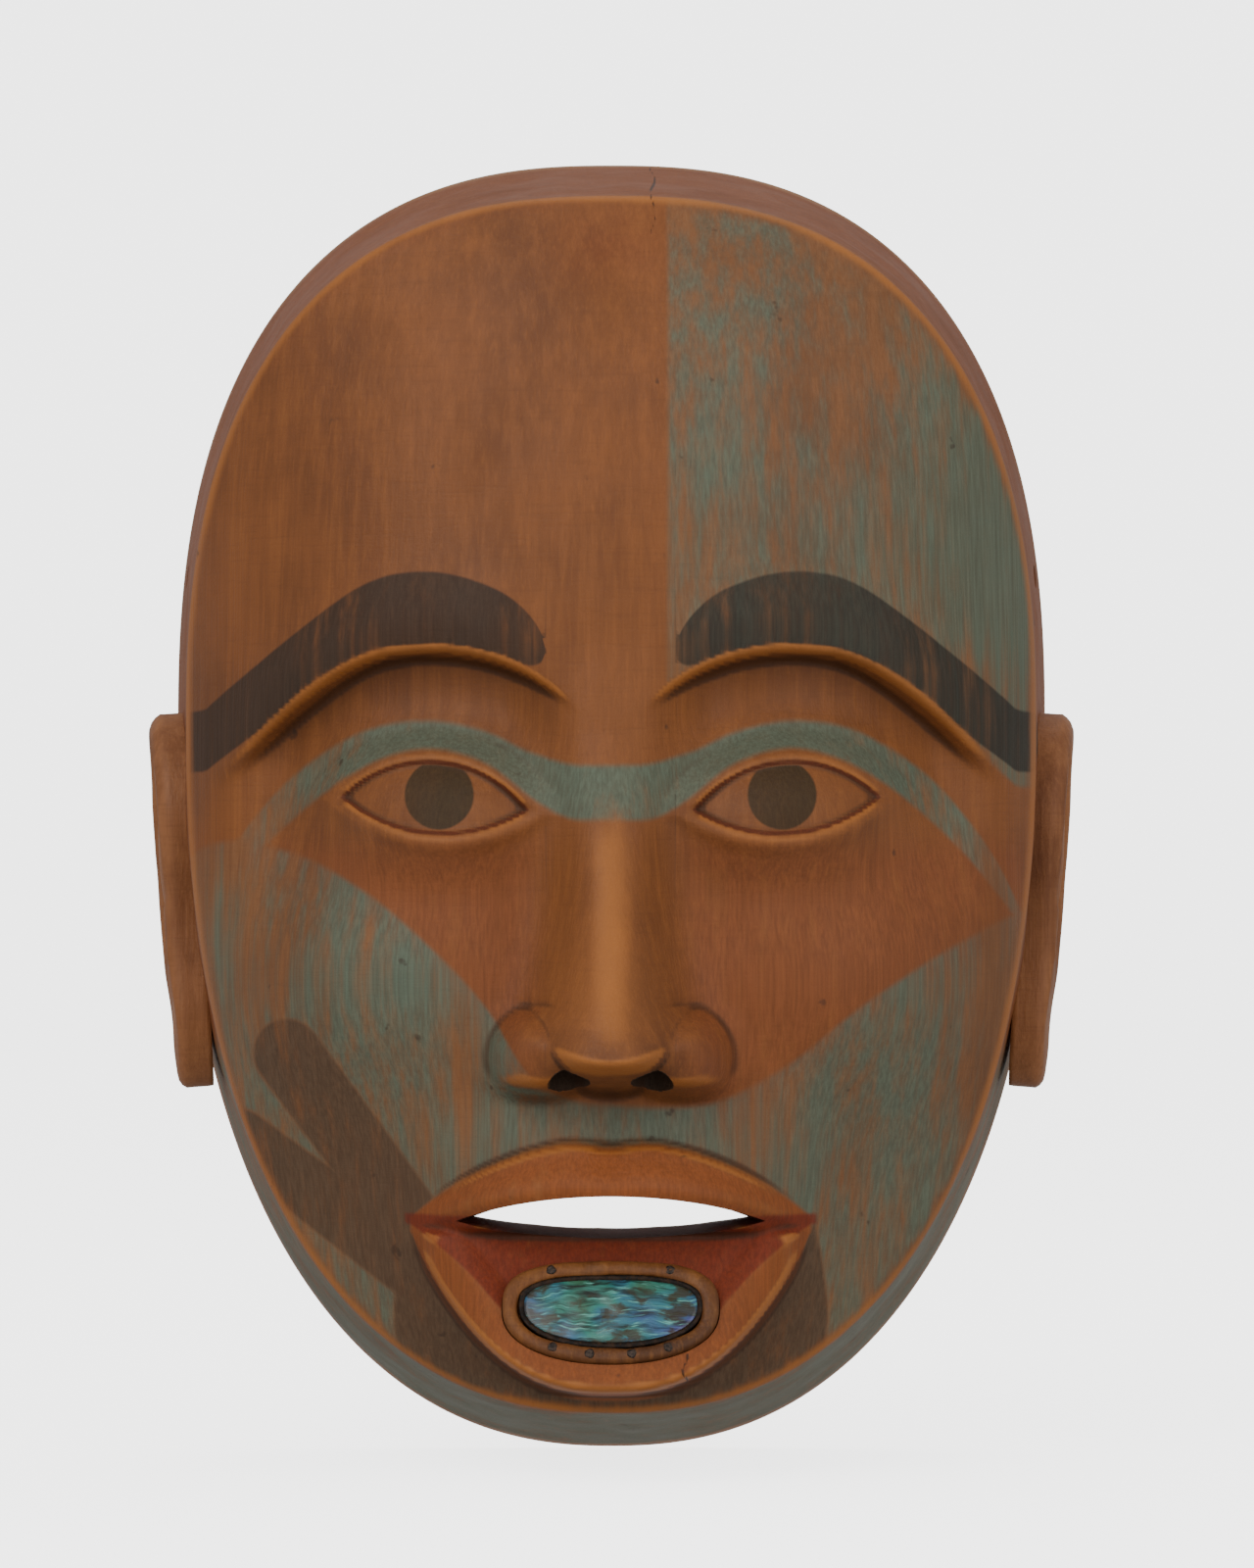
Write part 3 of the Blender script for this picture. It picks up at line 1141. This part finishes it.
class MaskColours(bpy.types.PropertyGroup):
    """Colours of the paint."""

    red_stain: colour_setting("Red stain", "Thin red-brown on the cheeks, the crown and the walls", "764024")
    blue_green: colour_setting("Blue-green", "Worn paint on forehead, eyelids and cheeks", "476053")
    chin_grey: colour_setting("Chin grey", "Dark grey-brown of chin and cheek bands", "483C2E")
    brow_black: colour_setting("Brow black", "Black-brown of the brows and nostrils", "28241E")
    lip_red: colour_setting("Lip red", "Thin red-brown of the lips", "84421A")
    inner_red: colour_setting("Inner red", "Brick red inside the lips", "66200F")
    iris: colour_setting("Iris", "Dark olive-brown of the eyes", "2C2514")
    line_red: colour_setting("Line red", "Fine dark red line round the eyes", "4E1E12")


# ---- operators ----
class CARVED_MASK_OT_shell(bpy.types.Operator):
    """Carve the shell: face, worn edges, planed walls, rim, hollow and openings."""

    bl_idname = "carved_mask.shell"
    bl_label = "Carve the Shell"

    def execute(self, context):
        net, front_edge = shell_net(context.scene.mask_sizes)
        shell = net.make("shell_carved")
        cut = carve(shell, shell_openings())
        paint(shell, front_edge, cut)
        finish_piece(shell, "painted_wood", painted_wood(context.scene.mask_colours), "mask_shell")
        return {"FINISHED"}


class CARVED_MASK_OT_ears(bpy.types.Operator):
    """Carve both ears as slabs with a rim, a fold, a bowl and a lobe."""

    bl_idname = "carved_mask.ears"
    bl_label = "Carve the Ears"

    def execute(self, context):
        wood = stained_alder("Alder_carved_and_stained", "5E351D", "865634", "A57048", 0.3)
        for side, hand in ((-1, "left"), (1, "right")):
            finish_piece(ear_net(side).make(f"ear_{hand}_carved"), "ear_wood", wood, f"ear_{hand}")
        return {"FINISHED"}


class CARVED_MASK_OT_dowels(bpy.types.Operator):
    """Give the ears' dowels their wood; their solids keep their shape."""

    bl_idname = "carved_mask.dowels"
    bl_label = "Finish the Dowels"

    def execute(self, context):
        wood = stained_alder("Alder_whittled", "7A5433", "9A6E44", "B48A58", 0.2)
        for hand in ("left", "right"):
            node = bpy.data.objects[f"ear_dowels_{hand}"]
            for held in node.material_slots:
                held.material = wood
        return {"FINISHED"}


class CARVED_MASK_OT_labret_ring(bpy.types.Operator):
    """Carve the labret's wooden ring and the plug behind it."""

    bl_idname = "carved_mask.labret_ring"
    bl_label = "Carve the Labret Ring"

    def execute(self, context):
        wood = stained_alder("Alder_handled_and_stained", "3A2110", "6A3F1E", "94602F", 0.3)
        finish_piece(ring_net().make("labret_ring"), "labret_wood", wood, "labret_plug")
        return {"FINISHED"}


class CARVED_MASK_OT_labret_shell(bpy.types.Operator):
    """Grind the shell plate that the ring holds."""

    bl_idname = "carved_mask.labret_shell"
    bl_label = "Grind the Shell Plate"

    def execute(self, context):
        finish_piece(inlay_net().make("labret_shell_plate"), "abalone_shell", ground_shell(), "labret_inlay")
        return {"FINISHED"}


class CARVED_MASK_OT_labret_pitch(bpy.types.Operator):
    """Fill the gap round the shell plate with pitch."""

    bl_idname = "carved_mask.labret_pitch"
    bl_label = "Fill in the Pitch"

    def execute(self, context):
        finish_piece(pitch_net().make("labret_pitch_fill"), "spruce_pitch", tree_pitch(), "labret_pitch")
        return {"FINISHED"}


class CARVED_MASK_OT_labret_pins(bpy.types.Operator):
    """Drive the six pins through the ring."""

    bl_idname = "carved_mask.labret_pins"
    bl_label = "Drive the Pins"

    def execute(self, context):
        finish_piece(pins_net().make("labret_pin_heads"), "iron_pins", old_iron(), "labret_pins")
        return {"FINISHED"}


# the floor's profile: distance from the mask and height, in mm. It curves up on all sides, out of
# reach of a camera that goes round the mask.
FLOOR_PROFILE = (
    (5, 0), (300, 0), (1500, 0), (2600, 0), (3000, 60), (3300, 220), (3500, 520), (3600, 1000), (3620, 2600),
)
# each light's place in m, its size in m and its power in W
LIGHTS = {
    "key": ((-0.8, -1.5, 1.0), 1.4, 22),
    "fill": ((1.1, -1.5, 0.5), 1.4, 13),
    "top": ((0.1, 0.5, 1.9), 1.0, 7),
}
ROOM_LIGHT = 0.62
CAMERA_AT = (0.003, -1.7, 0.0042)
SEEN_HEIGHT = 0.303  # m: how much the camera takes in from bottom to top, at the mask's back rim


class CARVED_MASK_OT_stage(bpy.types.Operator):
    """Set up the pale floor, the studio lights and the camera."""

    bl_idname = "carved_mask.stage"
    bl_label = "Set the Stage"

    def execute(self, context):
        scene = context.scene
        net = Net()
        turn = np.linspace(0, 2 * math.pi, 96, endpoint=False)
        loop = None
        for radius, rise in FLOOR_PROFILE:
            loop = net.ring(loop, radius * np.cos(turn), radius * np.sin(turn), CAD_BOX[0][2] / MM + rise)
        net.faces.append(list(range(len(turn))))
        floor = net.make("floor")

        # matt white paper, a little cloudy. It glows, as a sweep lit from behind does, but neither that
        # light nor its reflection falls on the mask.
        material, tree, found = start("Paper_white_matt", {"pulp": (40, 40, 3)})
        colour = lay(tree, (*linear("F3F3F2"), 1), (found["pulp"], 0.4, 0.6, 0.3, "F1F1F0"))
        rough = (found["pulp"], 0.3, 0.7, 0.86, 0.94)
        fixed = {"Emission Color": (1, 1, 1, 1), "Emission Strength": 3.0, "Specular IOR Level": 0.2}
        surface(material, colour, rough, found["pulp"], (0.1, 0.1), fixed)
        floor.visible_diffuse = floor.visible_glossy = False
        floor.data.materials.append(material)

        world = bpy.data.worlds.new("pale")
        world.use_nodes = True
        world.node_tree.nodes["Background"].inputs[0].default_value = (1, 1, 1, 1)
        world.node_tree.nodes["Background"].inputs[1].default_value = ROOM_LIGHT
        scene.world = world

        for name, (at, size, power) in LIGHTS.items():
            light = bpy.data.lights.new(name, "AREA")
            light.size, light.energy = size, power
            lamp = bpy.data.objects.new(name, light)
            lamp.location = at
            lamp.rotation_euler = (-Vector(at)).to_track_quat("-Z", "Y").to_euler()
            scene.collection.objects.link(lamp)

        camera = bpy.data.objects.new("camera", bpy.data.cameras.new("camera"))
        camera.location = CAMERA_AT
        camera.rotation_euler = (math.pi / 2, 0, 0)
        camera.data.sensor_fit = "AUTO"
        camera.data.sensor_width = 36.0
        camera.data.lens = camera.data.sensor_width * -CAMERA_AT[1] / SEEN_HEIGHT
        scene.collection.objects.link(camera)
        scene.camera = camera
        return {"FINISHED"}


OPERATORS = (
    CARVED_MASK_OT_shell,
    CARVED_MASK_OT_ears,
    CARVED_MASK_OT_dowels,
    CARVED_MASK_OT_labret_ring,
    CARVED_MASK_OT_labret_shell,
    CARVED_MASK_OT_labret_pitch,
    CARVED_MASK_OT_labret_pins,
    CARVED_MASK_OT_stage,
)


class VIEW3D_PT_carved_mask(bpy.types.Panel):
    """Lists the steps and the settings in the sidebar."""

    bl_label = "Carved Mask"
    bl_space_type = "VIEW_3D"
    bl_region_type = "UI"
    bl_category = "Carved Mask"

    def draw(self, context):
        for operator in OPERATORS:
            self.layout.operator(operator.bl_idname)
        for group in (context.scene.mask_sizes, context.scene.mask_colours):
            for name in group.bl_rna.properties.keys():
                if name not in ("rna_type", "name"):
                    self.layout.prop(group, name)


CLASSES = (MaskSizes, MaskColours, *OPERATORS, VIEW3D_PT_carved_mask)


def register():
    for kind in CLASSES:
        bpy.utils.register_class(kind)
    bpy.types.Scene.mask_sizes = bpy.props.PointerProperty(type=MaskSizes)
    bpy.types.Scene.mask_colours = bpy.props.PointerProperty(type=MaskColours)


def unregister():
    del bpy.types.Scene.mask_colours
    del bpy.types.Scene.mask_sizes
    for kind in reversed(CLASSES):
        bpy.utils.unregister_class(kind)


def main():
    """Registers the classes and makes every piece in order."""
    register()
    bpy.ops.carved_mask.shell()
    bpy.ops.carved_mask.ears()
    bpy.ops.carved_mask.dowels()
    bpy.ops.carved_mask.labret_ring()
    bpy.ops.carved_mask.labret_shell()
    bpy.ops.carved_mask.labret_pitch()
    bpy.ops.carved_mask.labret_pins()
    bpy.ops.carved_mask.stage()


if __name__ == "__main__":
    main()
